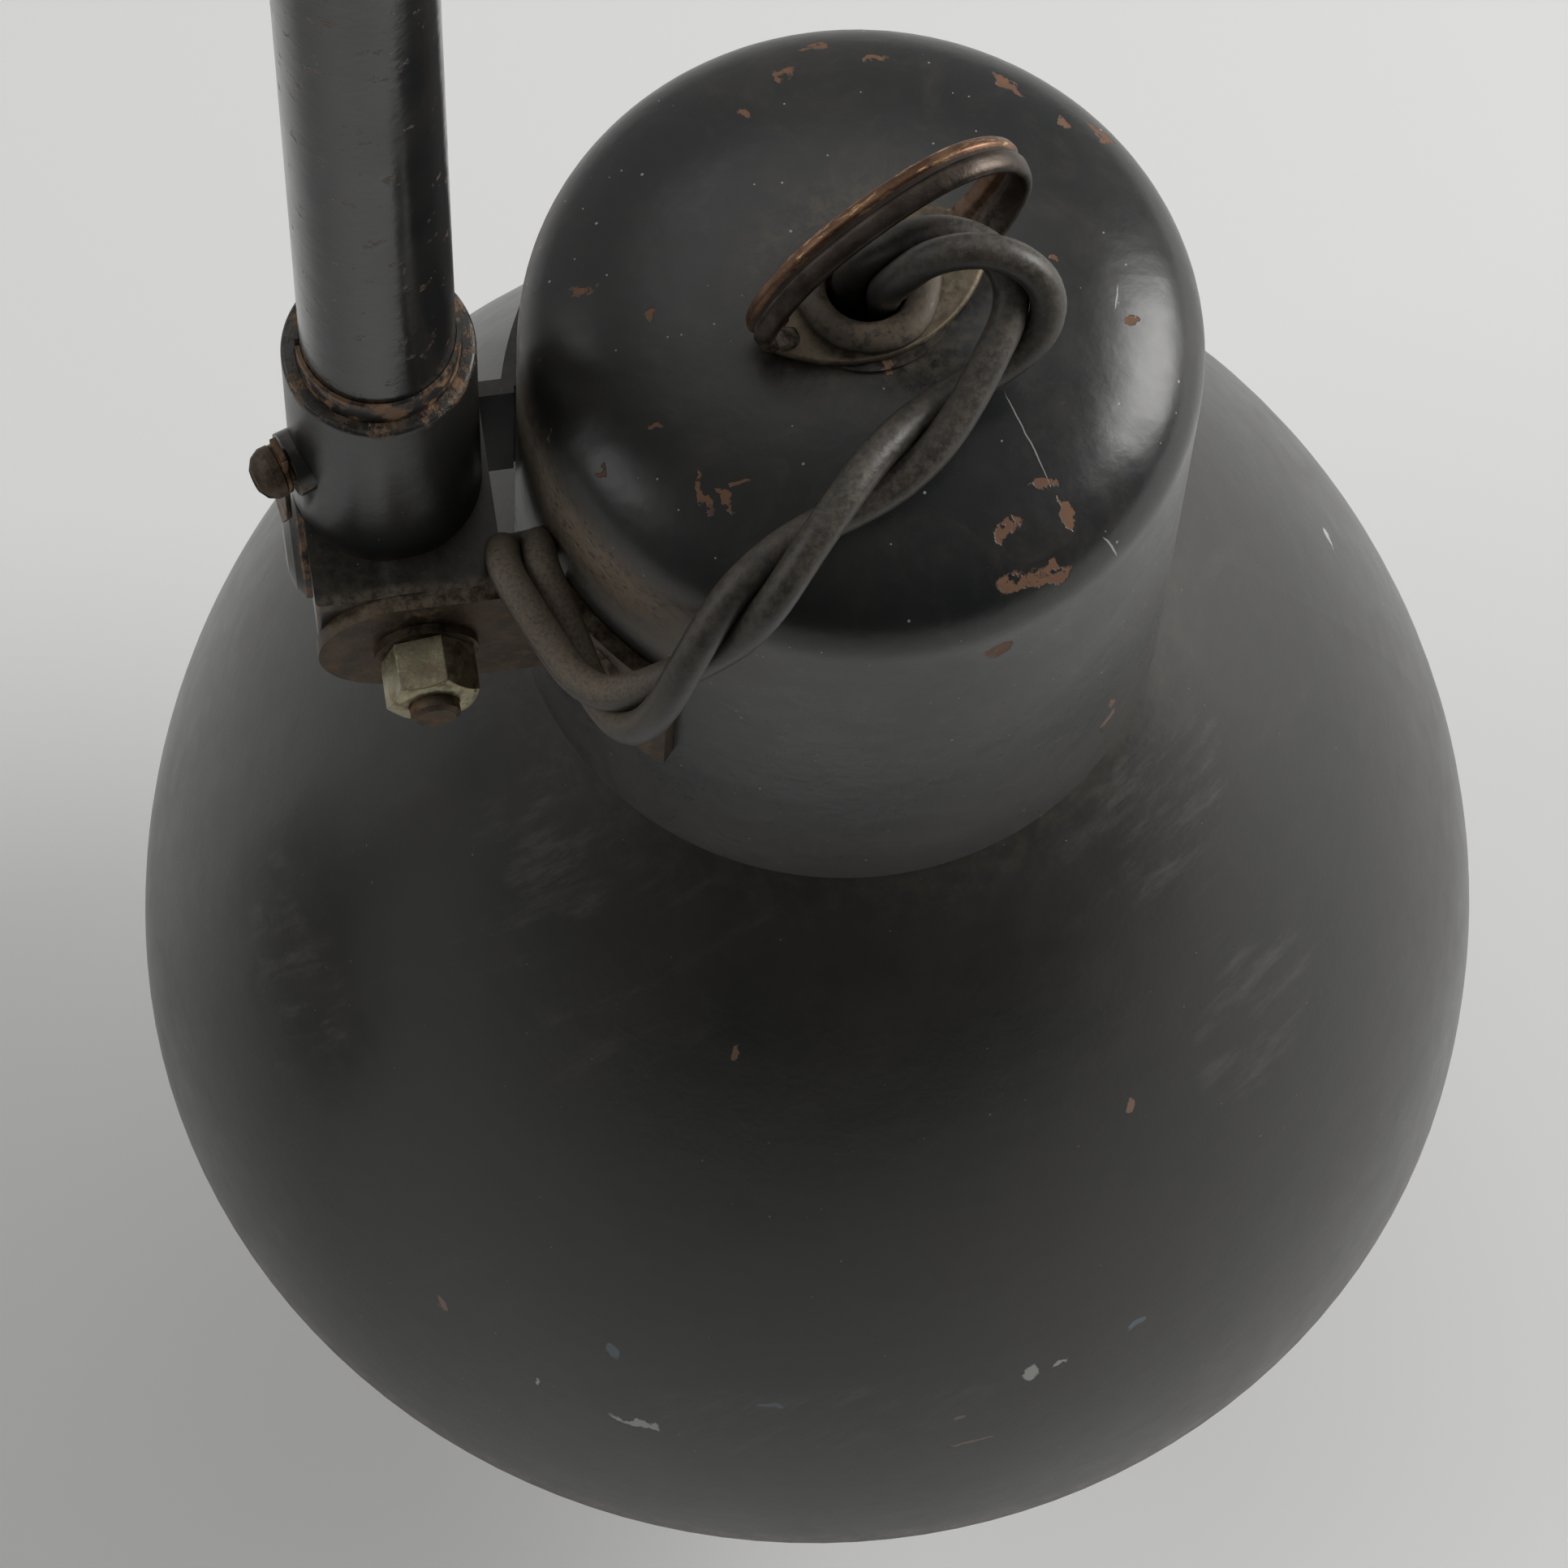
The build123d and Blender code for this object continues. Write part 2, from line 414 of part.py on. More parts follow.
def lampholder():
    """Nipple, locknut, lampholder and bulb, hung inside the cap."""
    place = Pos(SHADE_OFFSET, 0, SHADE_RISE)
    nipple = ring_between((0, 0, -20), (0, 0, SEAT_HEIGHT + 1.3), NIPPLE_R, NIPPLE_R - 1.2)
    nodes["nipple"] = leaning(place * nipple)
    locknut = Pos(0, 0, -4.6) * extrude(RegularPolygon(9.8, 6), 3.4)
    locknut -= cylinder_between((0, 0, -8), (0, 0, 0), NIPPLE_R + 0.02)
    nodes["nipple_locknut"] = leaning(place * locknut)
    cover = turned([
        (NIPPLE_R + 0.02, -10), (9, -10), (9.5, -13), (15, -16), (19, -21), (19.6, -30), (17.9, -30), (17.4, -22),
        (14, -17.8), (8, -15.5), (NIPPLE_R + 0.02, -15.5)])
    nodes["holder_cover"] = leaning(place * cover)
    shell = turned([(17.92, -30.05), (20.2, -30.05), (20.2, -36), (19.2, -37), (19.2, -66), (20.2, -67),
                    (20.2, -69), (15.2, -69), (15.2, -67.4), (17.92, -67.4)])
    nodes["holder_shell"] = leaning(place * shell)
    insert = turned([(0, -31), (17.88, -31), (17.88, -60), (14.4, -60), (14.4, -40), (0, -40)])
    insert -= cylinder_between((0, 0, -41), (0, 0, -30), 1.6)
    nodes["holder_insert"] = leaning(place * insert)
    contact = cylinder_between((0, 0, -42), (0, 0, -33), 1.55) + cylinder_between((0, 0, -42.4), (0, 0, -40.1), 4.5)
    nodes["holder_contact"] = leaning(place * contact)
    thread = [(0, -42.6), (4.2, -42.6), (5, -44), (11, -46)]
    for turn in range(6):
        z = -47 - 2.8 * turn
        thread += [(12.4, z), (13.1, z - 0.9), (12.4, z - 1.8)]
    cap = turned(thread + [(12.4, -68), (13.4, -70), (13.4, -71), (0, -71)])
    nodes["bulb_cap"] = leaning(place * cap)
    glass = make_face(Plane.XZ * (
        Spline((12.6, -71.05), (14.2, -82), (22, -98), (29.4, -113), (29.6, -127), (21, -142), (0, -149),
               tangents=[(0, -1), (-1, 0)])
        + Line((0, -149), (0, -148.1))
        + Spline((0, -148.1), (20.4, -141.4), (28.7, -126.8), (28.5, -113.2), (21.2, -98.4), (13.3, -82.2), (11.7, -71.05),
                 tangents=[(1, 0), (0, 1)])
        + Line((11.7, -71.05), (12.6, -71.05))))
    nodes["bulb_glass"] = leaning(place * revolve(glass, Axis.Z))


# The flex, from the grommet over the dome, down in front of the neck and back to the head's
# block. Points are from the collar's top ring.
FLEX_ROUTE = [
    (56.5, -0.1, -5.5), (56.3, -0.6, 1.5), (58.2, -2.8, 10.0), (63.5, -3.1, 15.4), (69.8, -4.9, 16.0),
    (73.7, -8.2, 13.0), (73.4, -11.5, 9.0), (69.0, -14.8, 6.2), (63.4, -18.8, 4.7), (56.6, -24.1, 4.0),
    (50.2, -28.3, 3.2), (43.9, -32.1, 1.4), (38.2, -35.9, -2.5), (32.7, -38.6, -10.4), (26.8, -39.5, -20.5),
    (22.5, -37.6, -28.2), (19.3, -32.3, -31.6), (17.2, -26.2, -31.0), (15.5, -21.8, -29.2), (14.2, -19.2, -28.4),
]
TAIL_ROUTE = [(7.6, -9.5, -41.2), (14.2, -10.2, -40.8), (14.5, -12.0, -37.6)]


def corner_radii(points):
    """For each corner, the radius of the largest arc that its two runs leave room for."""
    radii = []
    for before, corner, after in zip(points, points[1:], points[2:]):
        into, out = Vector(corner) - Vector(before), Vector(after) - Vector(corner)
        half_turn = math.radians(into.get_angle(out)) / 2
        radii.append(0.45 * min(into.length, out.length) / math.tan(half_turn))
    return radii


def tube_along(points, radius):
    radii = corner_radii(points)
    path = FilletPolyline(*points, radius=radii)
    section = Plane(origin=points[0], z_dir=Vector(points[1]) - Vector(points[0])) * Circle(radius)
    tube = sweep(section, path)
    print("length", round(path.length, 1), "radii", [round(r, 1) for r in radii],
          "volume share", round(tube.volume / (math.pi * radius ** 2 * path.length), 4))
    return tube


def cords():
    nodes["flex"] = Pos(HEAD) * tube_along(FLEX_ROUTE, FLEX_R)
    nodes["flex_tail"] = Pos(HEAD) * tube_along(TAIL_ROUTE, CORE_R)


def main():
    base()
    switch()
    lower_linkage()
    head_mount()
    shade()
    yoke()
    hanger_and_grommet()
    lampholder()
    cords()
    os.makedirs("parts", exist_ok=True)
    for name, shape in nodes.items():
        if isinstance(shape, list):
            shape = Compound(children=[solid for item in shape for solid in item.solids()])
        export_step(shape, "parts/" + name + ".step")


main()
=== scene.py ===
import math

import bpy
import numpy as np
from mathutils import Matrix, Vector


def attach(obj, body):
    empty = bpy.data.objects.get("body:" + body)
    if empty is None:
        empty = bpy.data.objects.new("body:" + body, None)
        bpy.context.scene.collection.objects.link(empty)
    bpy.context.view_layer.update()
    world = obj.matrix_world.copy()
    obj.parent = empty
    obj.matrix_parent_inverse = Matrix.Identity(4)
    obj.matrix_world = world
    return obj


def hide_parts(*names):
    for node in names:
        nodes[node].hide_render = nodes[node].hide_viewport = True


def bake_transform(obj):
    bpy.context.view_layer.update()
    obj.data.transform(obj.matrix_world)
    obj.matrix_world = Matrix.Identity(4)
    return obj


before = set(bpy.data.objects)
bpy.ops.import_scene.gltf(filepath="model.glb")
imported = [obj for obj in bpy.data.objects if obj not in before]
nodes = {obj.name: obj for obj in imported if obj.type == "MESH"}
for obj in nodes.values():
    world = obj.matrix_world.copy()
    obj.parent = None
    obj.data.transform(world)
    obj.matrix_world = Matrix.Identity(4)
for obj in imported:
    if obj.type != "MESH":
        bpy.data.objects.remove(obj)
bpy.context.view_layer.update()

HEAD = Vector((0.350, 0.0, 0.285))      # centre of the head collar's top ring
SHADE_TOP = Vector((0.40663, 0.0, 0.28252))      # middle of the cap's top
SHADE_LEAN = math.radians(1.0)
HANGER_PLACE = SHADE_TOP + Vector((0, 0, 0.0004))
HANGER_TURN = math.radians(22)

CAMERA_PLACE = (0.32003, -0.41781, 1.18964)
CAMERA_ANGLES = (-10.752, 68.071, 2.391)      # azimuth, elevation and roll in degrees
CAMERA_LENS = 199.4
SENSOR_WIDTH = 36
FLOOR_HALF = 6


def head(*point):
    """A point given in millimetres from the collar's top ring."""
    return HEAD + Vector(point) / 1000


# ---------------------------------------------------------------- camera
def add_camera():
    azimuth, elevation, roll = (math.radians(a) for a in CAMERA_ANGLES)
    level = math.cos(elevation)
    back = Vector((math.sin(azimuth) * level, -math.cos(azimuth) * level, math.sin(elevation)))
    right = Vector((math.cos(azimuth), math.sin(azimuth), 0))
    up = back.cross(right)
    c, s = math.cos(roll), math.sin(roll)
    columns = (c * right + s * up, -s * right + c * up, back)
    data = bpy.data.cameras.new("camera")
    data.lens = CAMERA_LENS
    data.sensor_width = SENSOR_WIDTH
    data.clip_start = 0.02
    data.clip_end = 50
    camera = bpy.data.objects.new("camera", data)
    turn = Matrix(columns).transposed().to_4x4()
    camera.matrix_world = Matrix.Translation(CAMERA_PLACE) @ turn
    bpy.context.scene.collection.objects.link(camera)
    bpy.context.scene.camera = camera


# ---------------------------------------------------------------- light and floor
def add_area(name, place, target, width, height, power, colour=(1, 1, 1)):
    data = bpy.data.lights.new(name, "AREA")
    data.shape = "RECTANGLE"
    data.size = width
    data.size_y = height
    data.energy = power
    data.color = colour
    lamp = bpy.data.objects.new(name, data)
    lamp.location = place
    lamp.rotation_euler = (Vector(target) - Vector(place)).to_track_quat("-Z", "Y").to_euler()
    bpy.context.scene.collection.objects.link(lamp)


def add_world():
    """Light from all round, brighter on the side away from the camera."""
    world = bpy.data.worlds.new("studio")
    world.use_nodes = True
    tree = world.node_tree
    place = tree.nodes.new("ShaderNodeTexCoord")
    split = tree.nodes.new("ShaderNodeSeparateXYZ")
    ramp = tree.nodes.new("ShaderNodeMapRange")
    ramp.inputs["From Min"].default_value = -0.9
    ramp.inputs["From Max"].default_value = 0.8
    ramp.inputs["To Min"].default_value = 0.06
    ramp.inputs["To Max"].default_value = 0.50
    tree.links.new(place.outputs["Generated"], split.inputs[0])
    tree.links.new(split.outputs["Y"], ramp.inputs["Value"])
    tree.links.new(ramp.outputs[0], tree.nodes["Background"].inputs["Strength"])
    tree.nodes["Background"].inputs["Color"].default_value = (0.85, 0.845, 0.835, 1)
    bpy.context.scene.world = world


def add_stage():
    add_world()
    bpy.context.scene.view_settings.view_transform = "Standard"
    add_area("key", (2.15, 0.25, 1.08), (0.40, 0, 0.15), 1.0, 1.2, 38, (1, 0.995, 0.98))
    add_area("top", (0.5, 1.3, 2.6), (0.40, 0, 0.15), 2.0, 1.6, 7)
    add_area("fill", (-1.9, 0.3, 1.6), (0.30, -0.1, 0.10), 1.6, 1.4, 16)

    mesh = bpy.data.meshes.new("floor")
    corners = [(x * FLOOR_HALF, y * FLOOR_HALF, 0) for x, y in ((-1, -1), (1, -1), (1, 1), (-1, 1))]
    mesh.from_pydata(corners, [], [(0, 1, 2, 3)])
    floor = bpy.data.objects.new("floor", mesh)
    bpy.context.scene.collection.objects.link(floor)
    made = bpy.data.materials.new("floor_paper")
    made.use_nodes = True
    shader = made.node_tree.nodes["Principled BSDF"]
    shader.inputs["Base Color"].default_value = (0.79, 0.79, 0.785, 1)
    shader.inputs["Roughness"].default_value = 0.9
    mesh.materials.append(made)


# ---------------------------------------------------------------- material kit
class Kit:
    """Short names for the shader nodes that the materials are made of."""

    def __init__(self, name):
        self.material = bpy.data.materials.new(name)
        self.material.use_nodes = True
        self.tree = self.material.node_tree
        self.shader = self.tree.nodes["Principled BSDF"]
        self.place = self.add("ShaderNodeTexCoord").outputs["Object"]

    def add(self, kind):
        return self.tree.nodes.new(kind)

    def link(self, value, socket):
        if isinstance(value, bpy.types.NodeSocket):
            self.tree.links.new(value, socket)
        else:
            socket.default_value = value

    def moved(self, location=(0, 0, 0), turn=(0, 0, 0), scale=(1, 1, 1), place=None):
        """Object coordinates seen from a place of their own."""
        node = self.add("ShaderNodeMapping")
        node.vector_type = "TEXTURE"
        self.link(place or self.place, node.inputs["Vector"])
        node.inputs["Location"].default_value = location
        node.inputs["Rotation"].default_value = turn
        node.inputs["Scale"].default_value = scale
        return node.outputs[0]

    def noise(self, size, detail=4.0, rough=0.55, place=None, distort=0.0):
        """Noise whose features are about `size` metres wide, from 0 to 1."""
        node = self.add("ShaderNodeTexNoise")
        self.link(place or self.place, node.inputs["Vector"])
        node.inputs["Scale"].default_value = 1 / size
        node.inputs["Detail"].default_value = detail
        node.inputs["Roughness"].default_value = rough
        node.inputs["Distortion"].default_value = distort
        return node.outputs[0]

    def cells(self, size):
        node = self.add("ShaderNodeTexVoronoi")
        self.link(self.place, node.inputs["Vector"])
        node.inputs["Scale"].default_value = 1 / size
        return node

    def math(self, kind, a, b=0.0, clamp=False):
        node = self.add("ShaderNodeMath")
        node.operation = kind
        node.use_clamp = clamp
        self.link(a, node.inputs[0])
        self.link(b, node.inputs[1])
        return node.outputs[0]

    def ramp(self, value, low, high, out_low=0.0, out_high=1.0):
        node = self.add("ShaderNodeMapRange")
        node.interpolation_type = "SMOOTHSTEP"
        self.link(value, node.inputs["Value"])
        node.inputs["From Min"].default_value = low
        node.inputs["From Max"].default_value = high
        node.inputs["To Min"].default_value = out_low
        node.inputs["To Max"].default_value = out_high
        return node.outputs[0]

    def mix(self, share, a, b):
        """Colour a where share is 0 and b where it is 1."""
        node = self.add("ShaderNodeMix")
        node.data_type = "RGBA"
        self.link(share, node.inputs[0])
        for value, socket in ((a, node.inputs[6]), (b, node.inputs[7])):
            self.link(value if isinstance(value, bpy.types.NodeSocket) else (*value, 1), socket)
        return node.outputs[2]

    def blend(self, share, a, b):
        """Number a where share is 0 and b where it is 1."""
        node = self.add("ShaderNodeMix")
        self.link(share, node.inputs[0])
        self.link(a, node.inputs[2])
        self.link(b, node.inputs[3])
        return node.outputs[0]

    def most(self, *values):
        total = values[0]
        for value in values[1:]:
            total = self.math("MAXIMUM", total, value)
        return total

    def far(self, vector):
        node = self.add("ShaderNodeVectorMath")
        node.operation = "LENGTH"
        self.link(vector, node.inputs[0])
        return node.outputs["Value"]

    def shaken(self, size, amount, place=None):
        """The place moved about by noise, so that edges made from it are ragged."""
        place = place or self.place
        node = self.add("ShaderNodeTexNoise")
        self.link(place, node.inputs["Vector"])
        node.inputs["Scale"].default_value = 1 / size
        node.inputs["Detail"].default_value = 5
        scaled = self.add("ShaderNodeVectorMath")
        scaled.operation = "MULTIPLY_ADD"
        self.link(node.outputs["Color"], scaled.inputs[0])
        scaled.inputs[1].default_value = (2 * amount,) * 3
        scaled.inputs[2].default_value = (-amount,) * 3
        total = self.add("ShaderNodeVectorMath")
        self.link(place, total.inputs[0])
        self.link(scaled.outputs[0], total.inputs[1])
        return total.outputs[0]

    def spots(self, marks, place):
        """1 inside marks, and 0 outside. A mark is (middle, half sizes, turn), as in the lists of marks."""
        found = []
        for point, half, turn in marks:
            seen = self.moved(SHADE_TOP + Vector(point) / 1000, (0, 0, turn), Vector(half) / 1000, place)
            found.append(self.ramp(self.far(seen), 0.8, 1.05, 1.0, 0.0))
        return self.most(*found)

    def axis(self, vector, which):
        node = self.add("ShaderNodeSeparateXYZ")
        self.link(vector, node.inputs[0])
        return node.outputs[which]

    def facing_up(self):
        node = self.add("ShaderNodeNewGeometry")
        return self.axis(node.outputs["True Normal"], "Z")

    def worn_edge(self, low, high):
        """1 on sharp convex edges, from the mesh's own pointiness."""
        node = self.add("ShaderNodeNewGeometry")
        return self.ramp(node.outputs["Pointiness"], low, high)

    def bump(self, height, strength, distance, below=None):
        node = self.add("ShaderNodeBump")
        node.inputs["Strength"].default_value = strength
        node.inputs["Distance"].default_value = distance
        self.link(height, node.inputs["Height"])
        if below is not None:
            self.link(below, node.inputs["Normal"])
        return node.outputs[0]

    def finish(self, colour, rough, normal=None, metal=None):
        self.link(colour, self.shader.inputs["Base Color"])
        self.link(rough, self.shader.inputs["Roughness"])
        if metal is not None:
            self.link(metal, self.shader.inputs["Metallic"])
        if normal is not None:
            self.link(normal, self.shader.inputs["Normal"])
        return self.material


ENAMEL = (0.0105, 0.0115, 0.0120)
ENAMEL_WARM = (0.0175, 0.0165, 0.0150)
DUST = (0.180, 0.142, 0.100)
RUST = (0.115, 0.045, 0.022)
PALE = (0.34, 0.33, 0.30)


def specks(kit, size, radius, share):
    """Scattered pale specks: only a share of the cells has one."""
    cells = kit.cells(size)
    dot = kit.ramp(cells.outputs["Distance"], radius * 0.6, radius, 1.0, 0.0)
    chosen = kit.ramp(kit.axis(cells.outputs["Color"], "X"), 1 - share, 1 - share + 0.01)
    return kit.math("MULTIPLY", dot, chosen)


def cap_paint():
    """Black enamel of the drawn cap: specks, chips down to brown metal, dust under its shoulder."""
    kit = Kit("enamel_cap")
    cloud = kit.noise(0.030, 5, 0.6)
    fine = kit.noise(0.0035, 4, 0.6)
    colour = kit.mix(kit.ramp(cloud, 0.35, 0.75), ENAMEL, ENAMEL_WARM)
    haze = kit.math("MULTIPLY", kit.ramp(kit.noise(0.009, 8, 0.75, distort=0.8), 0.46, 0.80), 0.60)
    colour = kit.mix(haze, colour, (0.045, 0.040, 0.034))

    shaken = kit.shaken(0.0028, 0.0020)
    chips = kit.math("MULTIPLY", kit.spots(CAP_CHIPS, shaken), kit.ramp(kit.noise(0.0013, 3), 0.36, 0.44))
    scattered = kit.math("MULTIPLY", kit.ramp(kit.noise(0.0065, 3, 0.5, shaken), 0.72, 0.75),
                         kit.ramp(kit.noise(0.05, 2), 0.52, 0.60))
    chipped = kit.most(chips, kit.math("MULTIPLY", scattered, 0.8))
    bared = kit.mix(kit.noise(0.002), (0.105, 0.047, 0.025), (0.175, 0.088, 0.046))
    colour = kit.mix(chipped, colour, bared)
    scratches = kit.spots(CAP_SCRATCHES, kit.shaken(0.006, 0.0006))
    colour = kit.mix(kit.math("MULTIPLY", scratches, 0.8), colour, PALE)
    dots = kit.most(specks(kit, 0.0032, 0.070, 0.40), specks(kit, 0.0018, 0.085, 0.30))
    colour = kit.mix(kit.math("MULTIPLY", dots, 0.75), colour, PALE)

    seen = kit.moved(SHADE_TOP, (0, SHADE_LEAN, 0))
    height = kit.axis(seen, "Z")
    low = kit.ramp(height, -0.058, -0.076)
    left = kit.ramp(kit.axis(seen, "X"), -0.012, -0.034)
    under = kit.math("MULTIPLY", kit.ramp(height, -0.009, -0.016), kit.ramp(height, -0.036, -0.020))
    under = kit.math("MULTIPLY", under, left)
    grit = kit.ramp(kit.noise(0.0012, 6, 0.8), 0.26, 0.56)
    dust = kit.math("MULTIPLY", kit.math("MULTIPLY", under, grit), 1.0)
    dust = kit.most(dust, kit.math("MULTIPLY", kit.math("MULTIPLY", low, grit), 0.10))
    middle = kit.far(kit.moved(SHADE_TOP, (0, SHADE_LEAN, 0), (1, 1, 1.6)))
    patchy = kit.ramp(kit.noise(0.0022, 6, 0.7), 0.35, 0.7)
    ring = kit.math("MULTIPLY", kit.ramp(middle, 0.0185, 0.0105), patchy)
    dust = kit.most(dust, kit.math("MULTIPLY", ring, 0.30))
    colour = kit.mix(dust, colour, DUST)

    rough = kit.blend(kit.ramp(cloud, 0.3, 0.8), 0.25, 0.36)
    rough = kit.blend(kit.most(dust, chipped), rough, 0.78)
    rough = kit.math("ADD", rough, kit.math("MULTIPLY", kit.math("SUBTRACT", fine, 0.5), 0.12))
    normal = kit.bump(kit.noise(0.0012, 3), 0.10, 0.0002)
    normal = kit.bump(kit.noise(0.018, 3), 0.25, 0.0009, normal)
    normal = kit.bump(kit.math("SUBTRACT", 1, chipped), 0.6, 0.00012, normal)
    kit.shader.inputs["Specular IOR Level"].default_value = 0.5
    return kit.finish(colour, rough, normal)


def bell_paint():
    """Enamel of the spun bell: matter, brownish with old dust, rubbed streaks, small marks and a painted
    sheen round the rim.
    """
    kit = Kit("enamel_bell")
    seen = kit.moved(SHADE_TOP, (0, SHADE_LEAN, 0))
    cloud = kit.noise(0.045, 5, 0.6)
    colour = kit.mix(kit.ramp(cloud, 0.30, 0.72), (0.0075, 0.0073, 0.0067), (0.0155, 0.0140, 0.0120))
    stretched = kit.moved((0, 0, 0), (0.5, 0.2, 0.7), (1, 0.22, 1))
    streak = kit.ramp(kit.noise(0.020, 7, 0.72, stretched), 0.52, 0.80)
    zone = kit.ramp(kit.noise(0.055, 2), 0.50, 0.68)
    rub = kit.math("MULTIPLY", streak, zone)
    rubbed = kit.spots(BELL_RUBS, kit.shaken(0.02, 0.008))
    streaked = kit.ramp(kit.noise(0.014, 7, 0.75, stretched), 0.46, 0.72)
    rub = kit.most(rub, kit.math("MULTIPLY", rubbed, streaked))
    colour = kit.mix(kit.math("MULTIPLY", rub, 0.22), colour, (0.17, 0.165, 0.15))

    shaken = kit.shaken(0.0028, 0.0020)
    chipped = kit.spots(BELL_CHIPS, shaken)
    colour = kit.mix(chipped, colour, (0.165, 0.092, 0.058))
    pale = kit.spots(BELL_PALE, kit.shaken(0.004, 0.0030))
    colour = kit.mix(kit.math("MULTIPLY", pale, 0.75), colour, (0.42, 0.42, 0.40))
    blue = kit.spots(BELL_BLUE, kit.shaken(0.005, 0.0030))
    colour = kit.mix(kit.math("MULTIPLY", blue, 0.45), colour, (0.13, 0.20, 0.24))
    dots = kit.most(specks(kit, 0.0040, 0.045, 0.30), specks(kit, 0.0022, 0.06, 0.16))
    colour = kit.mix(kit.math("MULTIPLY", dots, 0.40), colour, (0.26, 0.24, 0.21))

    height = kit.axis(seen, "Z")
    # Painted sheen: a lighter band in the dust colour round the rim's lowest edge; the faint band at the
    # junction with the neck is dust.
    rim = kit.ramp(height, -0.1915, -0.1955)
    shoulder = kit.ramp(height, -0.092, -0.083)
    gathered = kit.most(kit.math("MULTIPLY", rim, 0.5), kit.math("MULTIPLY", shoulder, 0.12))
    dust = kit.math("MULTIPLY", gathered, kit.ramp(kit.noise(0.003, 6, 0.7), 0.35, 0.75))
    # Dust colour here: real dust at the neck junction, painted sheen at the rim.
    colour = kit.mix(dust, colour, DUST)

    rough = kit.blend(kit.ramp(cloud, 0.3, 0.8), 0.28, 0.38)
    rough = kit.math("ADD", rough, kit.math("MULTIPLY", rub, 0.10))
    uneven = kit.math("SUBTRACT", kit.noise(0.004, 4), 0.5)
    rough = kit.math("ADD", rough, kit.math("MULTIPLY", uneven, 0.10))
    normal = kit.bump(kit.noise(0.0011, 3), 0.10, 0.0002)
    spun = kit.add("ShaderNodeTexWave")
    spun.wave_type = "BANDS"
    spun.bands_direction = "Z"
    kit.link(seen, spun.inputs["Vector"])
    spun.inputs["Scale"].default_value = 95
    spun.inputs["Distortion"].default_value = 1.6
    spun.inputs["Detail"].default_value = 2
    normal = kit.bump(spun.outputs["Fac"], 0.02, 0.0001, normal)
    normal = kit.bump(kit.noise(0.030, 3), 0.22, 0.0010, normal)
    kit.shader.inputs["Specular IOR Level"].default_value = 0.55
    return kit.finish(colour, rough, normal)


def arm_paint(name, gloss, worn, at_head=False, chips_from=0.755):
    """Enamel of tubes, forks and brackets: edges rubbed through to brass, dust where it gathers."""
    kit = Kit(name)
    cloud = kit.noise(0.022, 5, 0.6)
    colour = kit.mix(kit.ramp(cloud, 0.35, 0.75), ENAMEL, ENAMEL_WARM)
    shaken = kit.shaken(0.003, 0.0008)
    scattered = kit.ramp(kit.noise(0.0055, 3, 0.5, shaken), chips_from, chips_from + 0.02)
    flecks = kit.math("MULTIPLY", scattered, kit.ramp(kit.noise(0.04, 2), 0.62, 0.70))
    edge = kit.worn_edge(0.515, 0.56)
    patchy = kit.ramp(kit.noise(0.0030, 5, 0.7), 0.62 - 0.30 * worn, 0.80 - 0.30 * worn)
    edge = kit.math("MULTIPLY", edge, patchy)
    chipped = kit.most(flecks, edge)
    metal_colour = kit.mix(kit.noise(0.0025, 4), (0.16, 0.075, 0.042), (0.30, 0.19, 0.105))
    colour = kit.mix(chipped, colour, metal_colour)
    grit = kit.ramp(kit.noise(0.0025, 6, 0.75), 0.42, 0.75)
    dust = kit.math("MULTIPLY", kit.ramp(kit.facing_up(), 0.55, 0.95), grit)
    dust = kit.math("MULTIPLY", dust, 0.40)
    if at_head:
        grit = kit.ramp(kit.noise(0.0014, 6, 0.75), 0.30, 0.62)
        height = kit.axis(kit.place, "Z")
        rim = kit.math("MULTIPLY", kit.ramp(height, HEAD.z - 0.0016, HEAD.z - 0.0004),
                       kit.ramp(kit.noise(0.0024, 5, 0.75), 0.48, 0.60))
        ledge = kit.math("MULTIPLY", kit.ramp(height, HEAD.z - 0.0335, HEAD.z - 0.0358),
                         kit.ramp(height, HEAD.z - 0.0400, HEAD.z - 0.0362))
        front = kit.math("MULTIPLY", kit.ramp(kit.axis(kit.place, "Y"), -0.0135, -0.0155), ledge)
        colour = kit.mix(kit.math("MULTIPLY", rim, 0.55), colour, metal_colour)
        gathered = kit.most(kit.math("MULTIPLY", ledge, 0.22), kit.math("MULTIPLY", front, 0.85))
        dust = kit.most(dust, kit.math("MULTIPLY", gathered, grit))
        chipped = kit.most(chipped, kit.math("MULTIPLY", rim, 0.7))
    colour = kit.mix(dust, colour, DUST)
    dots = specks(kit, 0.0026, 0.06, 0.35)
    colour = kit.mix(kit.math("MULTIPLY", dots, 0.45), colour, PALE)
    rough = kit.blend(kit.ramp(cloud, 0.3, 0.8), gloss, gloss + 0.10)
    rough = kit.blend(kit.most(dust, chipped), rough, 0.7)
    normal = kit.bump(kit.noise(0.0010, 3), 0.12, 0.0002)
    normal = kit.bump(kit.noise(0.012, 3), 0.22, 0.0007, normal)
    normal = kit.bump(kit.math("SUBTRACT", 1, chipped), 0.6, 0.00012, normal)
    return kit.finish(colour, rough, normal)


